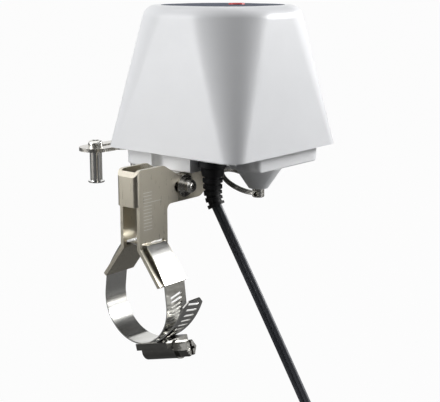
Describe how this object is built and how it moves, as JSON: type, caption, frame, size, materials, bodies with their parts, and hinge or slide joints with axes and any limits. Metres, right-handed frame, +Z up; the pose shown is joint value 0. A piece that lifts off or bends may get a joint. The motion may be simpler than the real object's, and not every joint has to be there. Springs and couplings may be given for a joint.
{
  "type": "smart water valve timer",
  "caption": "Motor box on a folded bracket and worm-drive clamp, turning a slotted drive arm with two posts under its base; pull-ring release and low-voltage lead.",
  "frame": {"origin": "centre of the ring clamp, on the axis of the pipe fitting it grips", "axes": "+X along the gripped fitting towards the drive axis, +Z up along the drive axis, +Y across"},
  "size_m": [0.1199, 0.1806, 0.2486],
  "materials": {
    "shell": "satin white moulding",
    "panel": "satin dark blue-grey",
    "button": "smooth red",
    "stainless": "satin pressed sheet",
    "polished": "polished stainless",
    "plated": "zinc-plated fasteners",
    "black": "soft black",
    "nylon": "natural acetal",
    "board": "green solder mask",
    "can": "drawn metal can",
    "core": "laminated iron core",
    "bronze": "sintered bush"
  },
  "bodies": {
    "mounting": {"mounting_bracket": "stainless", "clamp_band": "polished", "worm_housing": "stainless"},
    "worm": {"clamp_screw": "stainless"},
    "output": {"output_shaft": "stainless", "output_gear": "nylon", "drive_arm": "stainless", "arm_screw": "plated"},
    "post_left": {"left_post": "polished", "left_post_screw": "plated"},
    "post_right": {"right_post": "polished", "right_post_screw": "plated"},
    "idler": {"idler_gear": "nylon"},
    "pinion": {"motor_pinion": "bronze", "motor_shaft": "plated", "motor_rotor": "core"},
    "release": {"pull_pin": "stainless"},
    "ring": {"pull_ring": "polished"},
    "button": {"push_button": "button"},
    "actuator": {"base_housing": "shell", "board_screws": "plated", "bracket_bolt": "stainless", "button_switch": "black", "cable_gland": "black", "channel_screws": "plated", "clutch_retainer": "nylon", "clutch_spring": "plated", "control_board": "board", "cover_gasket": "black", "cover_screws": "plated", "drive_motor": "can", "flat_washers": "stainless", "gear_plate": "stainless", "gland_nut": "black", "idler_axle": "plated", "lead_socket": "black", "lock_nut": "stainless", "lower_bush": "bronze", "mounting_channel": "stainless", "plate_pillars": "nylon", "plate_screws": "plated", "power_lead": "black", "radio_module": "can", "spring_washer": "stainless", "top_cover": "shell", "top_panel": "panel", "upper_bush": "bronze"}
  },
  "joints": [
    {"name": "bracket_slide", "type": "slide", "parent": "mounting", "child": "actuator", "axis": [1, 0, 0], "range_m": [-0.0045, 0.0045]},
    {"name": "worm_turn", "type": "hinge", "parent": "mounting", "child": "worm", "pos_m": [0, -0.00733, -0.02557], "axis": [0, -0.9613, 0.2756], "continuous": true},
    {"name": "output_turn", "type": "hinge", "parent": "actuator", "child": "output", "pos_m": [0.062, 0, 0.07], "axis": [0, 0, 1], "range_deg": [-90, 0]},
    {"name": "left_post_slide", "type": "slide", "parent": "output", "child": "post_left", "axis": [1, 0, 0], "range_m": [-0.001, 0.012]},
    {"name": "right_post_slide", "type": "slide", "parent": "output", "child": "post_right", "axis": [1, 0, 0], "range_m": [-0.003, 0.009]},
    {"name": "idler_turn", "type": "hinge", "parent": "actuator", "child": "idler", "pos_m": [0.07468, 0.02384, 0.08], "axis": [0, 0, 1], "range_deg": [-10, 270]},
    {"name": "pinion_turn", "type": "hinge", "parent": "actuator", "child": "pinion", "pos_m": [0.05588, 0.017, 0.085], "axis": [0, 0, 1], "range_deg": [-620, 20]},
    {"name": "release_pull", "type": "slide", "parent": "actuator", "child": "release", "axis": [0, 0, -1], "range_m": [0, 0.0035], "stiffness_N_per_m": 800, "springref_m": -0.006, "deforming": ["clutch_spring"]},
    {"name": "ring_swing", "type": "hinge", "parent": "release", "child": "ring", "pos_m": [0.0598, -0.026, 0.0494], "axis": [0.9848, 0.1736, 0], "range_deg": [-117, 0]},
    {"name": "button_press", "type": "slide", "parent": "actuator", "child": "button", "axis": [0, 0, -1], "range_m": [0, 0.0006], "stiffness_N_per_m": 1500, "springref_m": -0.0008}
  ],
  "couplings": [
    {"joint": "idler_turn", "follows": "output_turn", "ratio": -2.8571},
    {"joint": "pinion_turn", "follows": "output_turn", "ratio": 6.6667}
  ]
}
